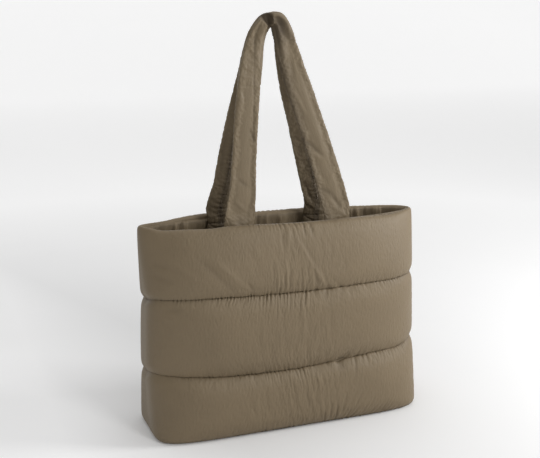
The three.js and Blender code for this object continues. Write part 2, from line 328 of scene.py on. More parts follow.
# Blows the cloth up from inside. held is 1 where it is stitched down,
# and ease is 1 where it has most spare cloth
def puffUp(piece, held, ease, cloth):
    start = getPoints(piece)
    generator = np.random.default_rng(cloth["seed"])
    free = (1 - held.ravel())[:, None]
    setPoints(piece, start + generator.normal(0, 0.00015, start.shape) * free)
    weigh(piece, "held", held)
    weigh(piece, "ease", ease)
    pick(piece)
    bpy.ops.object.modifier_add(type="CLOTH")
    modifier = piece.modifiers[-1]
    settings = modifier.settings
    settings.quality = 5
    settings.mass = cloth["mass"]
    settings.vertex_group_mass = "held"
    settings.pin_stiffness = 1
    settings.tension_stiffness = 15
    settings.compression_stiffness = 15
    settings.shear_stiffness = 5
    settings.bending_stiffness = cloth["bending"]
    settings.tension_damping = 5
    settings.compression_damping = 5
    settings.shear_damping = 5
    settings.bending_damping = 0.5
    settings.use_pressure = True
    settings.uniform_pressure_force = cloth["pressure"]
    settings.vertex_group_shrink = "ease"
    settings.shrink_min = -cloth["least"]
    settings.shrink_max = -cloth["most"]
    settings.effector_weights.gravity = 0
    modifier.collision_settings.use_collision = False
    modifier.collision_settings.use_self_collision = False
    modifier.point_cache.frame_end = cloth["frames"]
    for step in range(1, cloth["frames"] + 1):
        bpy.context.scene.frame_set(step)
    bpy.ops.object.modifier_apply(modifier=modifier.name)
    bpy.context.scene.frame_set(1)
    moved = getPoints(piece) - start
    length = np.linalg.norm(moved, axis=1)
    cap = np.minimum(1, cloth["cap"] / np.maximum(length, 1e-9))
    setPoints(piece, start + moved * cap[:, None])
    piece.vertex_groups.clear()
    most = length.max() * 1000
    print(f"{piece.name} puffed up, {length.mean() * 1000:.1f} mm on average, {most:.1f} at most")


def blownUp(name, points, held, ease, cloth):
    loose = gridPiece(name, points)
    puffUp(loose, held, ease, cloth)
    grid = getPoints(loose).reshape(points.shape)
    pick(loose)
    bpy.ops.object.delete()
    return grid


# The height of listed folds: start and end across and along the cloth, half width and height, in mm
def foldsIn(across, along, folds):
    height = np.zeros(np.broadcast(across, along).shape)
    for x0, y0, x1, y1, wide, high in np.array(folds) / 1000:
        span = math.hypot(x1 - x0, y1 - y0)
        down = ((across - x0) * (x1 - x0) + (along - y0) * (y1 - y0)) / span
        side = ((along - y0) * (x1 - x0) - (across - x0) * (y1 - y0)) / span
        share = np.clip(down / span, 0, 1)
        off = np.hypot(side, down - share * span)
        height += high * np.exp(-(off / wide) ** 2) * np.sin(math.pi * (0.12 + 0.76 * share))
    return height


# The directions out of a piece, away from a point or line inside it
def outward(grid, inside):
    normals = gridNormals(grid)
    return normals if ((grid - inside) * normals).sum() > 0 else -normals


def addUv(piece, across, along):
    layer = piece.data.uv_layers[0] if piece.data.uv_layers else piece.data.uv_layers.new()
    layer.name = "cloth"
    corners = np.zeros(len(piece.data.loops), np.int32)
    piece.data.loops.foreach_get("vertex_index", corners)
    both = np.stack([across.ravel()[corners], along.ravel()[corners]], axis=1)
    layer.data.foreach_set("uv", both.astype(np.float32).ravel())


def addValue(piece, name, values):
    attribute = piece.data.attributes.new(name, "FLOAT", "POINT")
    attribute.data.foreach_set("value", values.astype(np.float32).ravel())


# Merges rows and columns that meet, closes what is open, and points the faces outwards
def closeUp(piece, merge=0.00002):
    pick(piece)
    bpy.ops.object.mode_set(mode="EDIT")
    bpy.ops.mesh.select_all(action="SELECT")
    bpy.ops.mesh.remove_doubles(threshold=merge)
    bpy.ops.mesh.fill_holes(sides=0)
    bpy.ops.mesh.select_all(action="SELECT")
    bpy.ops.mesh.normals_make_consistent(inside=False)
    bpy.ops.object.mode_set(mode="OBJECT")
    bpy.ops.object.shade_smooth()


def dress(piece, material, node=None):
    piece.data.materials.clear()
    piece.data.materials.append(material)
    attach(piece, "root")
    if node:
        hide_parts(node)


# Body: its sections from the floor to the rim, at the quilting lines between them
bag = {
    "height": 0.310,
    "clothWidth": 0.54,  # a wall's cloth from one side seam to the other
    "puff": 0.0105,  # how far a band swells out before the cloth is blown up
    "innerPuff": 0.004,
    "sidePuff": (0.08, 0.2, 0.28),
    "sideFade": 0.150,
    "squareness": 2.6,
    "quiltedWall": 0.006,
    "rimWall": 0.0056,
    "rimRound": 0.0055,
    "footGap": 0.0006,
    "footRoll": 0.0035,
    "footHeight": 0.008,
    "footSquareness": 4.6,
    "basePadding": 0.012,
    "seamGap": 0.0003,
    "step": 0.0024,
    "acrossStep": 0.0017,
    "fineStep": 0.00104,
    "notch": 0.0045,  # how far the quilting lines pull in at the side seams
    "notchLength": 0.04,
    "lineWander": 0.0005,  # how far a quilting line strays up and down
    "linePucker": (0.0004, 0.0012),  # how far its own small gathers stand in and out
    "puckerLength": 0.0052,
}
# How far the lower and the upper line lie from their plain height, in mm,
# from the left seam to the right one
lineStations = (0, 0.04, 0.083, 0.114, 0.15, 0.22, 0.27, 0.32, 0.4, 0.5,
                0.58, 0.65, 0.72, 0.78, 0.83, 0.87, 0.9, 0.935, 1)
lineShifts = (
    ((-10, -3.5, -1.2, -1, -1.4, -1.4, -2, -1.6, -1.5, -1, 0.8, 2.2, 3, 2.4, 0.4, 1.2, 5, 7, 5),
     (-11, -5.5, -1.8, -0.6, -0.4, 1, 1.5, 1, 0.8, 0, -0.2, 0, 0, -0.8, -2, -2, -0.9, -1.5, -2)),
    ((-10, -12, -8, -5, -3, -1, 0, 0, 0, 0, 0, 0, 0, 0, 0, 1, 2, 3, 5),
     (-11, -15, -9, -5, -3, -1, 0, 0, 0, 0, 0, 0, 0, 0, 0, -0.5, -1, -1.5, -2)),
)
# The same for the front and the back rim, from left to right
rimStations = (-0.216, -0.206, -0.195, -0.186, -0.169, -0.152, -0.13, -0.113, -0.099, -0.082, -0.054, -0.025,
               0, 0.023, 0.054, 0.089, 0.119, 0.145, 0.167, 0.188, 0.206, 0.216)
rimShifts = (
    (3, 2, -0.6, -1.9, -0.8, -0.6, -1.1, -0.4, 1.4, 1.3, 1.2, -0.2,
     -0.8, -1.1, -1.6, -0.9, -1.6, -3, -4.1, -3.2, -2, -1.8),
    (2.8, 1.6, 1.1, 0.4, 0.4, 2, 3.4, 4.2, 3.6, 2.2, 0.6, -0.2,
     -0.4, -0.3, -0.3, -1, -1.8, -2, -1.9, -1.6, -1.4, -1.8),
)
sectionTable = np.array([
    # height, half width, half depth, face curve, end curve, lift at the ends
    (0.000, 0.2122, 0.06812, 11.0, 4.6, 0.0),
    (0.299, 0.2150, 0.06550, 2.9, 3.5, 0.0093),
    (0.675, 0.211792, 0.062225, 3.2, 3.4, 0.00434),
    (1.000, 0.214600, 0.04200, 2.6, 1.85, 0.0),
])
bandEdges = sectionTable[:, 0]
shoulder = 1 - bag["rimRound"] / bag["height"]
floorTop = (bag["basePadding"] + bag["seamGap"]) / bag["height"]


def sectionAt(height):
    return [np.interp(height, bandEdges, sectionTable[:, i]) for i in range(1, 6)]


# The front half of the outline at a height: points, outward directions, distance to a side seam, lift
def outlineAt(height, shares):
    halfWidth, halfDepth, face, end, lift = sectionAt(height)
    angle = math.pi * (1 - np.cos(np.linspace(0, math.pi, 1201))) / 2
    x = -np.sign(np.cos(angle)) * np.abs(np.cos(angle)) ** (2 / face) * halfWidth
    y = -np.sin(angle).clip(0) ** (2 / end) * halfDepth
    run = np.concatenate([[0], np.cumsum(np.hypot(np.diff(x), np.diff(y)))])
    wanted = shares * run[-1]
    x = np.interp(wanted, run, x)
    y = np.interp(wanted, run, y)
    outX = np.sign(x) * face * np.abs(x / halfWidth) ** (face - 1) / halfWidth
    outY = -end * np.abs(y / halfDepth) ** (end - 1) / halfDepth
    size = np.hypot(outX, outY)
    outX = outX / size
    outY = outY / size
    for i, side in ((0, -1), (-1, 1)):
        outX[i] = side
        outY[i] = 0
    toSeam = np.minimum(wanted, run[-1] - wanted)
    return x, y, outX, outY, toSeam, lift * (x / halfWidth) ** 2


def bandAt(height):
    band = int(np.clip(np.searchsorted(bandEdges, height, side="right") - 1, 0, 2))
    low, high = bandEdges[band], bandEdges[band + 1]
    return band, (height - low) / (high - low)


def swelling(height, toSeam):
    band, share = bandAt(height)
    power = bag["footSquareness"] if band == 0 and share < 0.5 else bag["squareness"]
    full = max(0, 1 - abs(2 * share - 1) ** power) ** (1 / power)
    fade = np.sin(math.pi / 2 * np.minimum(1, toSeam / bag["sideFade"])) ** 2
    side = bag["sidePuff"][band]
    return full * (side + (1 - side) * fade)


# Several sines close to one wavelength, from -1 to 1, the same each run
def ripple(along, wavelength, seed):
    generator = np.random.default_rng(seed)
    total = 0 * along
    for _ in range(7):
        length = wavelength * generator.uniform(0.7, 1.5)
        total = total + np.sin(2 * math.pi * along / length + generator.uniform(0, 2 * math.pi))
    return total / 4


def towardsRim(height):
    band, share = bandAt(height)
    return share if band == 2 else 0


def outerOffset(height, toSeam):
    under = max(0, 1 - (height * bag["height"] - bag["footGap"]) / bag["footHeight"]) ** 2
    wall = bag["rimWall"] / 2 * towardsRim(height)
    toLine = min(abs(height - edge) for edge in bandEdges[1:3]) * bag["height"]
    pull = bag["notch"] * math.exp(-(toLine / 0.007) ** 2) * np.exp(-(toSeam / bag["notchLength"]) ** 2)
    return bag["puff"] * swelling(height, toSeam) + wall - bag["footRoll"] * under - pull


def innerOffset(height, toSeam):
    above = max(height, floorTop)
    wall = bag["quiltedWall"] + (bag["rimWall"] / 2 - bag["quiltedWall"]) * towardsRim(above)
    return -wall - bag["innerPuff"] * swelling(above, toSeam)


def wallRow(height, shares, offset):
    x, y, outX, outY, toSeam, rise = outlineAt(min(height, 1), shares)
    out = offset(toSeam)
    row = np.stack([x + outX * out, y + outY * out, height * bag["height"] + rise], axis=1)
    row[:, 1] -= bag["seamGap"] / 2
    return row


# Heights of a band's rows, evenly spaced along its swollen profile
def bandHeights(band):
    low = max(bandEdges[band], bag["footGap"] / bag["height"])
    high = min(bandEdges[band + 1], shoulder)
    fine = low + (high - low) * (1 - np.cos(np.linspace(0, math.pi, 800))) / 2
    out = np.array([float(outerOffset(h, 0.25)) if h < bandEdges[band + 1] else 0.0 for h in fine])
    run = np.concatenate([[0], np.cumsum(np.hypot(np.diff(out), np.diff(fine * bag["height"])))])
    count = max(2, round(run[-1] / bag["step"]))
    close = np.array([0.5, 1.5])  # closer rows beside the lines
    places = np.sort(np.concatenate([np.arange(count + 1.0), close, count - close]))
    return np.interp(places * run[-1] / count, run, fine)


def rimOffset(angle, toSeam):
    out = outerOffset(shoulder, toSeam)
    inside = innerOffset(shoulder, toSeam)
    return (out + inside) / 2 + (out - inside) / 2 * math.cos(angle)


columns = round(bag["clothWidth"] / bag["acrossStep"])
shares = np.linspace(0, 1, columns + 1)
shellRows = []
stitchedRows = []
for band in range(3):
    heights = bandHeights(band)
    stitchedRows.append(len(shellRows))
    for k, height in enumerate(heights if band == 2 else heights[:-1]):
        shellRows.append(wallRow(height, shares, lambda toSeam, h=height: outerOffset(h, toSeam)))
rimSteps = 9
rimRow = len(shellRows) + rimSteps // 2
for k in range(1, rimSteps):
    angle = math.pi * k / rimSteps
    height = shoulder + bag["rimRound"] / bag["height"] * math.sin(angle)
    shellRows.append(wallRow(height, shares, lambda toSeam, a=angle: rimOffset(a, toSeam)))
hemRow = len(shellRows)
lowest = bag["footGap"] / bag["height"]
for height in np.linspace(shoulder, floorTop, 14):
    shellRows.append(wallRow(height, shares, lambda toSeam, h=height: innerOffset(h, toSeam)))
shellRows.append(wallRow(lowest, shares, lambda toSeam: innerOffset(lowest, toSeam)))
shellRows.append(shellRows[0].copy())
shellPoints = np.array(shellRows)
rowCount = len(shellPoints)
length = shares * bag["clothWidth"]
middle = shellPoints[:, columns // 2]
upRun = runAlong(middle)[:, None]


def freeOf(length, fade):
    return np.sin(math.pi / 2 * np.clip(np.minimum(length, bag["clothWidth"] - length) / fade, 0, 1)) ** 2


def smoothTable(places, stations, values, spread=15):
    kernel = np.ones(2 * spread + 1) / (2 * spread + 1)
    padded = np.pad(np.interp(places, stations, values), spread, mode="edge")
    return np.convolve(padded, kernel, mode="valid")


sideFree = freeOf(length, 0.03)
for n, row in enumerate(stitchedRows[1:]):  # the stitched lines wander a little and are gathered
    wander = (bag["lineWander"] * ripple(length, 0.03, 20 + n) * sideFree)[None, :]
    toLine = upRun[:hemRow] - upRun[row]
    shellPoints[:hemRow, :, 2] += wander * np.exp(-(toLine / 0.012) ** 2)
    gather = bag["linePucker"][n] * sideFree
    shellPoints[row, :, 1] += gather * ripple(length, bag["puckerLength"], 30 + n)
    shellPoints[row, :, 2] += 0.7 * gather * ripple(length, bag["puckerLength"], 40 + n)
print("front shell:", rowCount, "rows of", columns + 1, "points")

panelCloth = {
    "mass": 0.3,
    "bending": 0.05,
    "pressure": 4.0,
    "least": 0.005,
    "most": 0.12,
    "frames": 13,
    "cap": 0.006,
    "seed": 4,
}
held = np.zeros((rowCount, columns + 1))
held[stitchedRows] = 1
held[hemRow:] = 1
held[:, 0] = 1
held[:, -1] = 1
toStitch = np.min([np.abs(upRun - upRun[r]) for r in stitchedRows], axis=0)
closeness = np.exp(-(toStitch / 0.02) ** 2)
fullStations = [0, 0.1, 0.3, 0.5, 0.62, 0.8, 0.93, 1]
fullAmounts = [0.05, 0.2, 0.45, 0.75, 1, 0.85, 0.35, 0.05]
ease = np.maximum(closeness, 0.035) * np.interp(shares, fullStations, fullAmounts)[None, :]
lowRight = np.exp(-((shares[None, :] - 0.74) / 0.09) ** 2 - ((upRun - 0.04) / 0.035) ** 2)
ease = np.clip(ease + 0.4 * lowRight, 0, 1)
ease = np.maximum(ease, 0.25 * np.exp(-((upRun - upRun[rimRow]) / 0.012) ** 2))
ease[hemRow + 1:] = 0

looseGrid = blownUp("loosePanel", shellPoints, held, ease, panelCloth)
rolledIn = np.clip((hemRow - np.arange(rowCount)) / (hemRow - rimRow), 0, 1)[:, None, None]
looseGrid = shellPoints + (looseGrid - shellPoints) * freeOf(length, 0.085)[None, :, None] * rolledIn


# The same rows with more columns, on smooth curves through the old ones
def moreColumns(values, places):
    at = np.clip(places.astype(int), 0, values.shape[1] - 2)
    w = (places - at)[None, :, None]
    a = values[:, np.maximum(at - 1, 0)]
    b = values[:, at]
    c = values[:, at + 1]
    d = values[:, np.minimum(at + 2, values.shape[1] - 1)]
    return b + 0.5 * w * (c - a + w * (2 * a - 5 * b + 4 * c - d + w * (3 * (b - c) + d - a)))


def twiceAsFine(values):
    for _ in range(2):
        values = moreColumns(values, np.linspace(0, values.shape[1] - 1, 2 * values.shape[1] - 1))
        values = np.swapaxes(values, 0, 1)
    return values


fineColumns = round(bag["clothWidth"] / bag["fineStep"])
fineShares = np.linspace(0, 1, fineColumns + 1)
fineLength = fineShares * bag["clothWidth"]
frontGrid = moreColumns(looseGrid, fineShares * columns)
plainGrid = moreColumns(shellPoints, fineShares * columns)

# Gathers: fine streaks that start at a sewn line and fade out up or down the cloth.
# From the left seam to the right one: strength, reach in mm, and lean to the right for each step away
gatherStations = [0, 0.12, 0.2, 0.3, 0.38, 0.46, 0.54, 0.62, 0.68, 0.76, 0.85, 0.93, 1]
gatherRows = [
    # row, way, strength, reach, lean
    (0, 1, [0, 0.2, 0.3, 0.4, 0.6, 0.9, 1.2, 1.4, 1.5, 1.4, 0.8, 0.3, 0],
        [5, 5, 6, 7, 12, 18, 26, 32, 32, 28, 15, 8, 5],
        [0, 0, 0, 0, -0.1, -0.2, -0.3, 0.1, 0.6, 0.9, 0.8, 0.3, 0]),
    (1, -1, [0, 0.3, 0.4, 0.4, 0.5, 0.8, 0.9, 0.9, 0.8, 0.7, 0.7, 0.5, 0],
        [3, 3, 4, 5, 10, 24, 30, 30, 25, 18, 14, 10, 5],
        [0, 0, 0, 0, 0, 0.1, 0.1, 0.1, 0, -0.1, 0, 0.3, 0]),
    (1, 1, [0, 0.3, 0.5, 0.8, 0.9, 1, 1.1, 1, 0.9, 0.5, 0.5, 0.4, 0],
        [3, 3, 5, 16, 22, 28, 28, 28, 20, 10, 8, 5, 4],
        [0, 0, -0.4, -0.7, -0.6, -0.4, -0.2, 0.1, 0.1, 0, 0, 0, 0]),
    (2, -1, [0, 0.8, 0.8, 0.7, 0.9, 1.1, 1.2, 1.1, 0.8, 0.8, 0.8, 0.7, 0],
        [3, 3.5, 4, 14, 26, 30, 30, 22, 12, 7, 6, 5, 4],
        [0, -0.2, -0.5, -0.7, -0.4, -0.25, -0.2, -0.1, 0, 0.1, 0.1, 0, 0]),
    (2, 1, [0, 0.8, 0.9, 0.8, 0.7, 1.1, 1.3, 1.2, 0.8, 0.8, 0.9, 0.8, 0],
        [3, 3.5, 4, 5, 9, 30, 30, 24, 10, 7, 6, 5, 4],
        [0, 0, -0.2, -0.5, -0.3, -0.1, -0.1, -0.3, 0, 0, 0.1, 0, 0]),
    (3, -1, [0, 0.1, 0.1, 0.2, 0.5, 0.8, 0.9, 0.8, 0.5, 0.4, 0.4, 0.3, 0],
        [3, 3, 3, 4, 10, 18, 22, 18, 10, 7, 5, 4, 3],
        [0, 0, 0, 0, 0, 0.1, 0.05, -0.1, -0.1, 0, 0, 0, 0]),
]
gatherShape = {
    "height": 0.00026,
    "waves": (0.0042, 0.0095),
    "turning": 13,
    "atLine": 1.3,
    "tickHeight": 0.0003,
    "tickWaves": (0.0034, 0.0054),
    "seed": 21,
}
seamRows = stitchedRows + [rimRow]
amount = np.zeros(frontGrid.shape[:2])
nearLine = np.zeros(frontGrid.shape[:2])
leanUps = []
leanSets = []
for row, way, strengths, reaches, leans in gatherRows:
    away = (upRun - upRun[seamRows[row]]) * way
    reach = smoothTable(fineShares, gatherStations, reaches, 10)[None, :] / 1000
    strength = smoothTable(fineShares, gatherStations, strengths, 10)[None, :] * (away > 0)
    amount += strength * np.exp(-(away / reach) ** 2)
    nearLine += strength * np.exp(-away.clip(0) / 0.003)
    leanUps.append(upRun[seamRows[row], 0] + way * 0.003)
    leanSets.append(way * smoothTable(fineShares, gatherStations, leans, 10))
leanPlace = np.clip(np.interp(upRun[:, 0], leanUps, np.arange(6)), 0, 4.999)
leanFrom = leanPlace.astype(int)
leanShare = (leanPlace - leanFrom)[:, None]
leanSets = np.array(leanSets)
lean = leanSets[leanFrom] * (1 - leanShare) + leanSets[leanFrom + 1] * leanShare
slide = np.cumsum(lean * np.diff(upRun, axis=0, prepend=upRun[:1]), axis=0)
generator = np.random.default_rng(gatherShape["seed"])


def streaksOf(waves, turning, count=80):
    total = np.zeros_like(amount)
    for _ in range(count):
        wave = generator.uniform(*waves)
        turn = generator.normal(0, turning)
        phase = generator.uniform(0, 2 * math.pi)
        total += np.cos(2 * math.pi * ((fineLength[None, :] - slide) / wave + upRun * turn) + phase)
    return total / math.sqrt(count / 2)


streaks = streaksOf(gatherShape["waves"], gatherShape["turning"])
streaks = streaks - 0.25 * streaks ** 2
relief = gatherShape["height"] * streaks * (amount + gatherShape["atLine"] * nearLine)
ticks = streaksOf(gatherShape["tickWaves"], 5 * gatherShape["turning"])
relief += gatherShape["tickHeight"] * ticks * np.minimum(1.2, nearLine)

# Drags: longer soft folds. Start and end across and up the cloth, half width and height, in mm
drags = [
    (129, 284, 176, 243, 5, 0.9),
    (108, 284, 159, 239, 5, -0.8),
    (50, 289, 98, 260, 5, 0.8),
    (183, 248, 195, 234, 2.5, -0.8),
    (35, 277, 62, 274, 3.5, -0.5),
    (34, 262, 65, 253, 4, -0.5),
    (250, 276, 251, 232, 2.4, 0.8),
    (256, 262, 256, 234, 2.2, -0.5),
    (259, 326, 254, 298, 3.5, 0.7),
    (250, 326, 244, 300, 3, -0.5),
    (273, 326, 270, 300, 3.2, 0.6),
    (272, 306, 296, 266, 4, 0.55),
    (281, 304, 304, 262, 3.6, -0.45),
    (293, 270, 318, 233, 3.2, 0.6),
    (235, 270, 236, 237, 2.4, 0.4),
    (226, 272, 228, 236, 2.4, -0.4),
    (48, 192, 80, 192, 3.5, 0.6),
    (56, 204, 83, 206, 4, -0.6),
    (280, 65, 286, 34, 2, -0.8),
    (288, 48, 293, 24, 2, -0.7),
    (302, 84, 302, 60, 2, 0.7),
]
relief += foldsIn(fineLength[None, :], upRun, drags)
relief = relief * freeOf(fineLength, 0.03)[None, :]
relief[stitchedRows] = 0
relief[hemRow:] = 0
frontGrid = frontGrid + gridNormals(plainGrid) * relief[:, :, None]
frontPanel = gridPiece("frontPanel", frontGrid)
panelAcross = runOver(plainGrid, 1)
panelAcross = panelAcross - panelAcross[:, -1:] / 2
panelAlong = runOver(plainGrid, 0)
# Painted shade: darker in the valleys of the gathers and along the two quilting lines
crease = np.clip(-relief / 0.002, 0, 0.3)
# Shade along the two lines, from the left end to the right one: half width, then depth
lineShadePlaces = (0, 0.3, 0.6, 0.85, 0.97)
lineShade = (
    ((0.0026, 0.003, 0.0034, 0.0036, 0.0058), (0.9, 0.0, 0.1, 0.2, 0.35)),
    ((0.004, 0.0042, 0.0042, 0.0042, 0.0052), (0.9, 0.25, 0.1, 0.15, 0.6)),
)
for row, (widths, depths) in zip(stitchedRows[1:], lineShade):
    width = np.interp(fineShares, lineShadePlaces, widths)[None, :]
    depth = np.interp(fineShares, lineShadePlaces, depths)[None, :]
    crease = crease + depth * np.exp(-((upRun - upRun[row]) / width) ** 2)
crease[hemRow:] = 0
pucker = np.clip(0.12 + 0.75 * amount, 0, 1)
pucker[hemRow:] = 0.2
slide[hemRow:] = slide[hemRow]
addUv(frontPanel, panelAcross, panelAlong)
addValue(frontPanel, "crease", np.clip(crease, 0, 1))
addValue(frontPanel, "pucker", pucker)
addValue(frontPanel, "slide", slide)
print("front panel:", len(frontPanel.data.vertices), "points")
pick(frontPanel)
bpy.ops.object.duplicate()
backPanel = bpy.context.object  # the back repeats the front
backPanel.name = "backPanel"
setPoints(backPanel, getPoints(backPanel) * np.array([1, -1, 1]))


# The stitched lines and the rim rise and sag a little along their length
def shiftLines(points, behind):
    grid = points.reshape(frontGrid.shape)
    for n, row in enumerate(stitchedRows[1:]):
        shift = smoothTable(fineShares, lineStations, lineShifts[behind][n], 7)[None, :] / 1000
        grid[:hemRow, :, 2] += shift * np.exp(-((upRun[:hemRow] - upRun[row]) / 0.055) ** 2)
    return grid.reshape(-1, 3)


def raiseRim(points, behind):
    share = np.clip((points[:, 2] / bag["height"] - 0.72) / 0.28, 0, 1)
    stations = np.linspace(-0.23, 0.23, 200)
    shift = smoothTable(stations, rimStations, rimShifts[behind], 3) / 1000
    points[:, 2] += np.interp(points[:, 0], stations, shift) * share
    return points


setPoints(frontPanel, raiseRim(shiftLines(getPoints(frontPanel), 0), 0))
setPoints(backPanel, raiseRim(shiftLines(getPoints(backPanel), 1), 1))
frontGrid = getPoints(frontPanel).reshape(frontGrid.shape)
backGrid = getPoints(backPanel).reshape(frontGrid.shape)
for piece, node in ((frontPanel, "front_panel"), (backPanel, "back_panel")):
    closeUp(piece)
    dress(piece, shellCloth, node)
print("front and back panels made")


# Base: a flat padded panel, rings from the middle of its underside to the middle of its top
baseShape = {"bevel": 0.003, "insets": (0.055, 0.03, 0.012, 0.005), "around": 220}


def fullRing(height, offset, count):
    front = wallRow(height, np.linspace(0, 1, count // 2 + 1), offset)
    front[:, 1] += bag["seamGap"] / 2
    back = front[1:-1][::-1] * np.array([1, -1, 1])
    return np.concatenate([front, back, front[:1]])


def baseRing(inset, z):
    height = z / bag["height"]
    offset = lambda toSeam: innerOffset(height, toSeam) - bag["seamGap"] - inset
    ring = fullRing(height, offset, baseShape["around"])
    ring[:, 2] = z
    return ring


bevel = baseShape["bevel"]
top = bag["basePadding"]
baseRings = [baseRing(inset, 0) for inset in baseShape["insets"]]
for turn in np.linspace(0, 90, 5):
    side = math.radians(turn)
    baseRings.append(baseRing(bevel * (1 - math.sin(side)), bevel * (1 - math.cos(side))))
for turn in np.linspace(90, 0, 5):
    side = math.radians(turn)
    baseRings.append(baseRing(bevel * (1 - math.sin(side)), top - bevel * (1 - math.cos(side))))
baseRings += [baseRing(inset, top) for inset in reversed(baseShape["insets"])]
basePoints = np.array(baseRings)[:, ::-1]
basePanel = gridPiece("basePanel", basePoints)
ringRun = runOver(basePoints, 1)
ringAlong = np.arange(len(basePoints))[:, None] * 0.004 * np.ones_like(ringRun)
addUv(basePanel, ringRun, ringAlong)
addValue(basePanel, "crease", np.zeros_like(ringRun))
addValue(basePanel, "pucker", np.zeros_like(ringRun) + 0.2)
closeUp(basePanel)
dress(basePanel, shellCloth, "base_panel")
print("base made")


# Lining: a thin cup inside the body, in loose upright folds
liningShape = {
    "gap": 0.0005,
    "wall": 0.0015,
    "raise": 0.0028,
    "around": 520,
    "rows": 80,
    "floorRings": (0.004, 0.012, 0.03, 0.05),
    "folds": 60,
    "deepest": 0.003,
    "seed": 11,
}
liningFolds = [
    (797, -6, 806, 16, 1.8, -1.8),
    (838, -6, 852, 30, 2.2, 1.2),
    (824, -6, 835, 40, 2.2, 1.2),
    (690, -6, 698, 50, 2.2, 1.3),
    (676, -6, 685, 50, 2.2, -1.3),
    (662, -6, 668, 50, 2.2, 1.3),
    (534, -6, 539, 50, 2.2, 1.6),
    (526, -6, 531, 50, 1.8, -1.6),
    (500, -6, 505, 40, 1.8, -1.6),
    (637, -6, 646, 50, 3, 1),
]
liningTop = shoulder + liningShape["raise"] / bag["height"]
liningFloor = bag["basePadding"] + bag["seamGap"] + liningShape["wall"]
liningRows = []
for height in np.linspace(liningTop, liningFloor / bag["height"], liningShape["rows"]):
    depth = liningShape["gap"] + liningShape["wall"]
    tuck = 0.0016 * math.exp(-((liningTop - height) * bag["height"] / 0.003) ** 2)
    offset = lambda toSeam: innerOffset(height, toSeam) - depth + tuck
    ring = fullRing(height, offset, liningShape["around"])
    liningRows.append(ring)
for ring in liningRows[-6:]:
    ring[:, 2] = np.maximum(ring[:, 2], liningFloor)
liningRows[-1][:, 2] = liningFloor
liningWallRows = len(liningRows)
for inset in liningShape["floorRings"]:
    height = liningFloor / bag["height"]
    offset = lambda toSeam: innerOffset(height, toSeam) - depth - inset
    ring = fullRing(height, offset, liningShape["around"])
    ring[:, 2] = liningFloor
    liningRows.append(ring)
liningPoints = np.array(liningRows)
normals = gridNormals(liningPoints)
centre = liningPoints.mean(axis=(0, 1))
facing = ((centre - liningPoints) * normals).sum(axis=2, keepdims=True)
inwards = np.where(facing > 0, 1, -1) * normals
generator = np.random.default_rng(liningShape["seed"])
around = runOver(liningPoints[:1], 1)
around = around[0] / around[0, -1]
down = np.arange(len(liningPoints)) / liningWallRows
fold = np.zeros(liningPoints.shape[:2])
for k in range(liningShape["folds"]):
    place = generator.uniform()
    lean = generator.normal(0, 0.02)
    width = generator.uniform(0.002, 0.005)
    depthHere = liningShape["deepest"] * generator.uniform(0.3, 1)
    reach = generator.uniform(0.12, 0.8)
    away = (around[None, :] - place - lean * down[:, None] + 0.5) % 1 - 0.5
    fade = np.clip(1 - down[:, None] / reach, 0, 1) ** 0.7 * np.clip(down[:, None] / 0.03 + 0.2, 0, 1)
    fold = np.maximum(fold, depthHere * np.exp(-(away / width) ** 2) * fade)
liningAcross = runOver(liningPoints, 1)
liningAlong = runOver(liningPoints, 0)
liningAlong = liningAlong.mean(axis=1, keepdims=True)
fold += foldsIn(liningAcross, liningAlong, liningFolds)
fold[liningWallRows - 4:] = 0
fold[:, -1] = fold[:, 0]
liningPoints = liningPoints + inwards * fold[:, :, None] * np.array([1, 1, 0])
lining = gridPiece("lining", liningPoints)
addUv(lining, liningAcross, liningAlong * np.ones_like(liningAcross))
# Painted shade: the lining is darkened, least on the folds that stand into the bag
addValue(lining, "crease", 0.5 - 0.5 * np.clip(fold / 0.002, 0, 1))
addValue(lining, "pucker", np.zeros_like(fold) + 0.4)
pick(lining)
bpy.ops.object.mode_set(mode="EDIT")
bpy.ops.mesh.select_all(action="SELECT")
bpy.ops.mesh.remove_doubles(threshold=0.00002)
bpy.ops.mesh.select_all(action="DESELECT")
bpy.ops.mesh.select_non_manifold()
bpy.ops.object.mode_set(mode="OBJECT")
for vertex in lining.data.vertices:
    if vertex.co.z > 0.1:
        vertex.select = False
for edge in lining.data.edges:
    if any(lining.data.vertices[i].co.z > 0.1 for i in edge.vertices):
        edge.select = False
bpy.ops.object.mode_set(mode="EDIT")
bpy.ops.mesh.edge_face_add()
bpy.ops.mesh.select_all(action="SELECT")
bpy.ops.mesh.normals_make_consistent(inside=False)
bpy.ops.object.mode_set(mode="OBJECT")
bpy.ops.object.modifier_add(type="SOLIDIFY")
lining.modifiers[-1].thickness = liningShape["wall"]
lining.modifiers[-1].offset = 1
bpy.ops.object.modifier_apply(modifier=lining.modifiers[-1].name)
bpy.ops.object.shade_smooth()
dress(lining, liningCloth, "lining")
print("lining made")


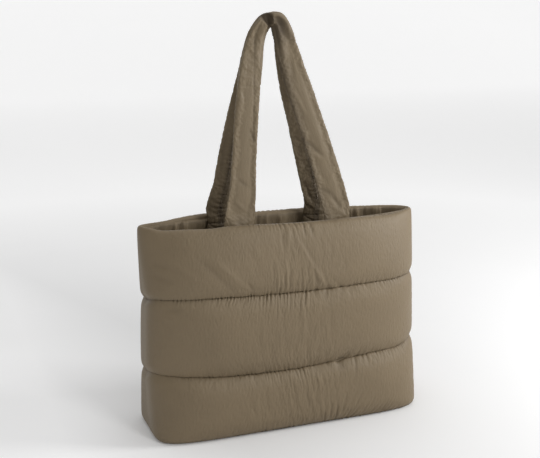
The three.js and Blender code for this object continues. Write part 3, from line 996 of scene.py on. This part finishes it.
# Straps: padded tubes with a seam down the inner face, gathered into a bundle at the top
strapShape = {
    "spacing": 0.157,
    "rise": 0.299,
    "width": 0.043,
    "endWall": 0.005,
    "padding": 0.014,
    "tail": 0.038,
    "tailGap": 0.0006,
    "pairGap": 0.0012,
    "fullPadding": 0.015,  # the padding in the CAD, which sets how far apart the straps hang
    "backEndShift": -0.007,
    "backTopShift": 0.015,
    "step": 0.0024,
    "around": 36,
    "squareness": 2.15,
    "seamDepth": 0.0016,
    "seamTicks": 0.0005,
    "pleats": 5,
    "pleatDepth": 0.1,
}
strapCourse = [
    # rise, across, width, thick, the back strap's shift across
    (0.04, -0.955, 1.04, 0.45, -0.05),
    (0.16, -0.89, 0.87, 0.85, -0.02),
    (0.345, -0.835, 0.79, 1.0, 0.01),
    (0.6, -0.745, 0.76, 1.0, 0.08),
    (0.76, -0.665, 0.72, 1.05, 0.085),
    (0.87, -0.575, 0.58, 1.15, 0.03),
    (0.917, -0.495, 0.51, 1.3, 0.0),
    (0.957, -0.36, 0.44, 1.4, 0.0),
    (0.961, -0.17, 0.43, 1.4, 0.0),
    (0.912, -0.06, 0.58, 1.3, 0.01),
    (0.83, 0.035, 0.75, 1.15, 0.02),
    (0.66, 0.235, 0.84, 1.05, 0.02),
    (0.43, 0.53, 0.87, 1.0, 0.03),
    (0.22, 0.795, 0.93, 0.9, 0.02),
    (0.04, 0.98, 0.99, 0.45, 0.02),
]
strapCloth = {
    "mass": 0.2,
    "bending": 0.1,
    "pressure": 3.0,
    "least": 0.01,
    "most": 0.08,
    "frames": 16,
    "cap": 0.004,
    "seed": 7,
}


strapFolds = {
    "frontStrap": [
        (39, 328, 35, 273, 1.6, -0.9),
        (35, 273, 30, 221, 1.6, -0.9),
        (30, 221, 28, 151, 1.6, -0.7),
        (34, 175, 24, 153, 2, -0.9),
        (50, 103, 37, 94, 3, -0.8),
        (52, 70, 40, 60, 3, 0.8),
        (31, 338, 36, 368, 5, -3),
        (49, 338, 50, 364, 4, -1.6),
        (44, 345, 46, 380, 3, 1),
        (46, 395, 49, 650, 7, 1),
        (18, 376, 20, 648, 1.6, -1.8),
        (23, 388, 26, 425, 1.3, 0.9),
        (16, 388, 19, 420, 1.2, 0.8),
        (24, 526, 34, 536, 3, -0.9),
        (33, 536, 44, 557, 3, -1.2),
        (29, 545, 41, 563, 3.6, 0.9),
        (47, 560, 50, 584, 3.4, -0.7),
        (30, 604, 41, 616, 3.4, -0.8),
        (40, 616, 51, 642, 3, -1.1),
        (33, 622, 45, 642, 3.6, 0.9),
        (31, 446, 37, 490, 3, 0.8),
        (40, 400, 37, 440, 3, -0.7),
    ],
    "backStrap": [
        (70, 457, 75, 529, 2, 0.8),
        (76, 537, 80, 600, 2, 0.8),
        (72, 600, 80, 640, 2, -0.8),
        (14, 168, 12, 94, 3, -0.8),
        # the box and the cross that sew each end to the back wall
        (-6, 29, 96, 29, 1.3, -1.5),
        (66, 29, 88, 16, 1.2, -0.9),
        (0, 16, 22, 4, 1.2, -0.9),
        (66, 4, 88, 16, 1.2, -0.9),
        (0, 16, 22, 29, 1.2, -0.9),
    ],
}
# Short ticks across the long folds, from one place along the strap to another, in mm
strapTicks = {"frontStrap": (20, 392, 640), "backStrap": (18, 40, 300)}
strapTickDepth = {"frontStrap": -0.7, "backStrap": -0.4}
generator = np.random.default_rng(9)
for name, (middle, begin, end) in strapTicks.items():
    for place in np.arange(begin, end, 5.5) + generator.normal(0, 1.5, len(np.arange(begin, end, 5.5))):
        reach = generator.uniform(-3, 7)
        lean = generator.normal(0, 2)
        tick = (middle, place, middle + reach, place + lean, 0.9, strapTickDepth[name])
        strapFolds[name].insert(0, tick)
# Shade beside the seam, down one leg of the front strap: run, depth, middle and spread across
legShade = [
    (0.330, 0.0, 0.0190, 0.0060),
    (0.355, 1.3, 0.0200, 0.0080),
    (0.390, 1.5, 0.0220, 0.0110),
    (0.420, 1.5, 0.0230, 0.0110),
    (0.450, 1.3, 0.0240, 0.0090),
    (0.490, 1.2, 0.0245, 0.0080),
    (0.535, 1.1, 0.0240, 0.0065),
    (0.580, 0.9, 0.0245, 0.0060),
    (0.630, 1.0, 0.0245, 0.0060),
    (0.670, 1.2, 0.0255, 0.0085),
]
# Where the strap folds over at the top, its outer face falls in between the two legs. The hollow there and
# the top of the leg beside it, to shadeTo, get painted shade
recess = {"place": 0.3345, "half": 0.0052, "depth": 1.2, "shadeTo": 0.366, "shade": 0.9}


# The lining's inner face at a distance across the front, and the way out from it
def liningFace(x, z):
    height = z / bag["height"]
    halfWidth, halfDepth, face, end, lift = sectionAt(height)
    y = -halfDepth * (1 - abs(x / halfWidth) ** face) ** (1 / end)
    out = Vector((
        math.copysign(face * abs(x / halfWidth) ** (face - 1) / halfWidth, x),
        -end * abs(y / halfDepth) ** (end - 1) / halfDepth,
        0,
    )).normalized()
    inside = -float(innerOffset(height, bag["sideFade"])) + 0.0023
    return np.array([x - out.x * inside, y - out.y * inside, z]), np.array(out)


# A smooth curve through points, with its bends kept tight to them
def smoothCurve(points, count):
    padded = np.vstack([2 * points[0] - points[1], points, 2 * points[-1] - points[-2]])
    samples = []
    for t in np.linspace(0, len(points) - 1, count):
        i = min(len(points) - 2, int(t))
        w = t - i
        a, b, c, d = padded[i:i + 4]
        first = np.linalg.norm(b - a) ** 0.5
        middle = np.linalg.norm(c - b) ** 0.5
        last = np.linalg.norm(d - c) ** 0.5
        leave = ((b - a) / first - (c - a) / (first + middle) + (c - b) / middle) * middle
        reach = ((c - b) / middle - (d - b) / (middle + last) + (d - c) / last) * middle
        cubed = (2 * b - 2 * c + leave + reach) * w ** 3
        squared = (-3 * b + 3 * c - 2 * leave - reach) * w ** 2
        samples.append(b + leave * w + squared + cubed)
    return np.array(samples)


def strapTube(endShift, topShift, phase):
    half = strapShape["spacing"] / 2
    topY = -(strapShape["fullPadding"] * 1.4 + strapShape["pairGap"]) / 2
    tailHeights = [bag["height"] - below for below in (strapShape["tail"], strapShape["tail"] / 2, 0.004)]
    points = []
    outs = []
    sizes = []

    def addEnd(side, z):
        face, out = liningFace(side * half + endShift, z)
        points.append(face - out * (strapShape["tailGap"] + strapShape["endWall"] / 2))
        outs.append(out)
        sizes.append((strapShape["width"], strapShape["endWall"]))

    for z in tailHeights:
        addEnd(-1, z)
    rimY = points[-1][1]
    for rise, across, width, thick, behind in strapCourse:
        if endShift:
            across = across + behind
        x = across * half + endShift + (topShift - endShift) * rise ** 2
        points.append(np.array([x, rimY + (topY - rimY) * rise, bag["height"] + rise * strapShape["rise"]]))
        outs.append(np.array([0.0, -1.0, 0.0]))
        sizes.append((width * strapShape["width"], thick * strapShape["padding"]))
    for z in reversed(tailHeights):
        addEnd(1, z)

    count = 900
    path = smoothCurve(np.array(points), count)
    place = np.linspace(0, len(points) - 1, count)
    stations = np.arange(len(points))
    blend = np.ones(31) / 31
    steady = lambda values: np.convolve(np.pad(values, 15, mode="edge"), blend, mode="valid")
    width = steady(np.interp(place, stations, [s[0] for s in sizes]))
    thick = steady(np.interp(place, stations, [s[1] for s in sizes]))
    out = np.stack([np.interp(place, stations, [o[i] for o in outs]) for i in range(3)], axis=1)
    run = runAlong(path)
    rows = round(run[-1] / strapShape["step"])
    even = np.linspace(0, run[-1], rows + 1)
    take = lambda values: np.interp(even, run, values)
    path = np.stack([take(path[:, i]) for i in range(3)], axis=1)
    out = np.stack([take(out[:, i]) for i in range(3)], axis=1)
    width = take(width)[:, None]
    thick = take(thick)[:, None]
    tangent = np.gradient(path, axis=0)
    tangent = tangent / np.linalg.norm(tangent, axis=1, keepdims=True)
    wide = np.cross(tangent, out)
    wide = wide / np.linalg.norm(wide, axis=1, keepdims=True)
    deep = np.cross(wide, tangent)
    angle = np.linspace(-math.pi / 2, 1.5 * math.pi, strapShape["around"] + 1)[None, :]
    power = 2 / strapShape["squareness"]
    cosine = np.sign(np.cos(angle)) * np.abs(np.cos(angle)) ** power
    sine = np.sign(np.sin(angle)) * np.abs(np.sin(angle)) ** power
    rise = np.clip((path[:, 2:3] - bag["height"]) / strapShape["rise"], 0, 1)
    gathered = np.clip((rise - 0.45) / 0.45, 0, 1) ** 1.5
    sway = phase + 5 * even[:, None]
    pleat = 1 + strapShape["pleatDepth"] * gathered * np.cos(strapShape["pleats"] * angle + sway)
    x = width / 2 * cosine * pleat
    y = thick / 2 * sine * pleat
    toSeam = np.minimum(np.abs(angle + math.pi / 2), np.abs(angle - 1.5 * math.pi))
    y = y + strapShape["seamDepth"] * np.exp(-(toSeam / 0.22) ** 2) * np.clip(rise * 12, 0, 1)
    tube = path[:, None] + wide[:, None] * x[:, :, None] + deep[:, None] * y[:, :, None]
    return tube, even, toSeam * np.ones_like(x), rise * np.ones_like(x), gathered * np.ones_like(x)


def makeStrap(name, node, facing, endShift, topShift, seed):
    tube, even, toSeam, rise, gathered = strapTube(endShift, topShift, seed * 1.7)
    apexAndLegShade = np.zeros_like(toSeam)
    if facing > 0:
        # Painted shade in the hollow at the top and on the top of the leg beside it
        away = (even - recess["place"])[:, None]
        apexAndLegShade = 1.8 * np.exp(-(away / (1.3 * recess["half"])) ** 4) * (toSeam > 1.2)
        shaded = np.exp(-((away + recess["place"] - recess["shadeTo"]) / 0.019) ** 4) * (toSeam > 0.9)
        apexAndLegShade = np.maximum(apexAndLegShade, recess["shade"] * shaded)
        fallen = recess["depth"] * np.exp(-((even - recess["place"]) / recess["half"]) ** 4)[:, None]
        centre = tube.mean(axis=1, keepdims=True)[:, :, 1]
        tube[:, :, 1] += np.maximum(0, centre - tube[:, :, 1]) * fallen
    else:
        tube = tube[:, ::-1] * np.array([1, -1, 1])
        toSeam = toSeam[:, ::-1]
    held = (toSeam < 0.01) * 1.0
    held[rise <= 0] = 1
    held[:1] = 1
    held[-1:] = 1
    ease = 0.35 + 0.5 * gathered + 0.3 * np.exp(-(toSeam / 0.5) ** 2)
    grid = blownUp("loose" + name, tube, held, np.clip(ease, 0, 1), dict(strapCloth, seed=seed))
    grid = twiceAsFine(grid)
    tube = twiceAsFine(tube)
    toSeam, gathered, apexAndLegShade = np.moveaxis(twiceAsFine(np.stack([toSeam, gathered, apexAndLegShade], axis=2)), 2, 0)
    even = np.linspace(0, even[-1], len(grid))
    across = runOver(tube, 1)
    height = foldsIn(across, even[:, None], strapFolds[name])
    if facing < 0:
        height = np.minimum(height, foldsIn(across, even[-1] - even[:, None], strapFolds[name][-5:]))
    else:
        runs, depth, middle, spread = np.array(legShade).T
        depth, middle, spread = [np.interp(even, runs, values)[:, None] for values in (depth, middle, spread)]
        # Painted shade down one leg of the front strap, beside the seam
        apexAndLegShade += depth * np.exp(-((across - middle) / spread) ** 2)
    beside = np.exp(-(toSeam / 0.45) ** 2)
    height += strapShape["seamTicks"] * ripple(even, 0.0055, seed)[:, None] * beside
    grid = grid + outward(grid, grid.mean(axis=1, keepdims=True)) * height[:, :, None]
    piece = gridPiece(name, grid)
    addUv(piece, across, even[:, None] * np.ones_like(across))
    # Painted shade beside the seam, in the folds, and on the front strap in the hollow at the top and down
    # one leg
    shadow = 1.4 * np.exp(-(toSeam / 0.17) ** 2) + np.clip(-height / 0.0013, 0, 1.2) + apexAndLegShade
    addValue(piece, "crease", np.clip(shadow, 0, 2))
    addValue(piece, "pucker", 0.45 + 0.4 * beside + 0.15 * gathered)
    closeUp(piece)
    dress(piece, strapNylon, node)
    return grid


frontStrapGrid = makeStrap("frontStrap", "front_strap", 1, 0, 0, 3)
backShifts = (strapShape["backEndShift"], strapShape["backTopShift"])
backStrapGrid = makeStrap("backStrap", "back_strap", -1, *backShifts, 5)
print("straps made")

# Stitches: one small bead of thread, copied along every sewn line
stitchShape = {"length": 0.0029, "gap": 0.0011, "thick": 0.00045, "lift": 0.0002}


def addBeads(count):
    startFresh()
    bpy.ops.mesh.primitive_uv_sphere_add(segments=6, ring_count=5, radius=0.5)
    beads = bpy.context.object
    bpy.ops.object.modifier_add(type="ARRAY")
    beads.modifiers[-1].count = count
    bpy.ops.object.modifier_apply(modifier=beads.modifiers[-1].name)
    return beads


oneBead = addBeads(1)
beadPoints = getPoints(oneBead)
bpy.ops.object.delete()


# Puts stitches along a path of points, standing off along the outward directions there
def stitchLine(path, outs):
    run = runAlong(path)
    pitch = stitchShape["length"] + stitchShape["gap"]
    starts = np.arange(0, run[-1] - stitchShape["length"], pitch)
    at = lambda values, where: np.stack([np.interp(where, run, values[:, i]) for i in range(3)], axis=1)
    ends = at(path, starts + stitchShape["length"])
    begins = at(path, starts)
    out = at(outs, starts + stitchShape["length"] / 2)
    out = out / np.linalg.norm(out, axis=1, keepdims=True)
    along = ends - begins
    size = np.linalg.norm(along, axis=1, keepdims=True)
    along = along / size
    side = np.cross(out, along)
    side = side / np.linalg.norm(side, axis=1, keepdims=True)
    middle = (begins + ends) / 2 + out * stitchShape["lift"]
    beads = middle[:, None] + along[:, None] * beadPoints[None, :, 2:3] * size[:, None]
    beads = beads + side[:, None] * beadPoints[None, :, 0:1] * stitchShape["thick"]
    return beads + out[:, None] * beadPoints[None, :, 1:2] * stitchShape["thick"]


def makeStitches(name, lines):
    beads = np.concatenate([stitchLine(path, outs) for path, outs in lines])
    piece = addBeads(len(beads))
    piece.name = name
    setPoints(piece, beads.reshape(-1, 3))
    bpy.ops.object.mode_set(mode="EDIT")
    bpy.ops.mesh.select_all(action="SELECT")
    bpy.ops.mesh.normals_make_consistent(inside=False)
    bpy.ops.object.mode_set(mode="OBJECT")
    bpy.ops.object.shade_smooth()
    dress(piece, thread)
    print(name, "made,", len(beads), "stitches")


# Two rows beside a strap's seam, and a box with a cross where each end is sewn in
def strapLines(grid):
    lines = []
    normals = outward(grid, grid.mean(axis=1, keepdims=True))
    half = grid.shape[1] // 2
    inner = np.concatenate([grid[:, half:-1], grid[:, :half + 1]], axis=1)
    innerNormals = np.concatenate([normals[:, half:-1], normals[:, :half + 1]], axis=1)
    seam = inner[:, half]

    def beside(distance):
        across = runOver(inner, 1)
        across = across - across[:, half:half + 1]
        points = []
        outs = []
        for row in range(len(inner)):
            points.append([np.interp(distance, across[row], inner[row, :, i]) for i in range(3)])
            outs.append([np.interp(distance, across[row], innerNormals[row, :, i]) for i in range(3)])
        return np.array(points), np.array(outs)

    for distance in (-0.0035, 0.0035):
        lines.append(beside(distance))
    edges = {side: beside(side * 0.0165) for side in (-1, 1)}
    for end in (1, -1):
        heights = seam[::end, 2]
        low = int(np.argmax(heights > bag["height"] - strapShape["tail"] + 0.004))
        high = int(np.argmax(heights > bag["height"] - 0.007))
        rows = np.arange(len(seam))[::end][low:high + 1]
        left = edges[-1][0][rows]
        right = edges[1][0][rows]
        out = edges[1][1][rows] + edges[-1][1][rows]
        steps = np.linspace(0, 1, len(rows))[:, None]
        for path in (left, right, left * (1 - steps) + right * steps, right * (1 - steps) + left * steps):
            lines.append((path, out))
        for row in (0, -1):
            path = left[row] * (1 - steps) + right[row] * steps
            lines.append((path, out))
    return lines


def rowLine(grid, row):
    return grid[row], outward(grid[:hemRow], np.array([0, 0, bag["height"] / 2]))[row]


makeStitches("quiltStitches", [rowLine(g, r) for g in (frontGrid, backGrid) for r in stitchedRows[1:]])
makeStitches("rimStitches", [(liningPoints[1], inwards[1])])
makeStitches("frontStrapStitches", strapLines(frontStrapGrid))
makeStitches("backStrapStitches", strapLines(backStrapGrid))
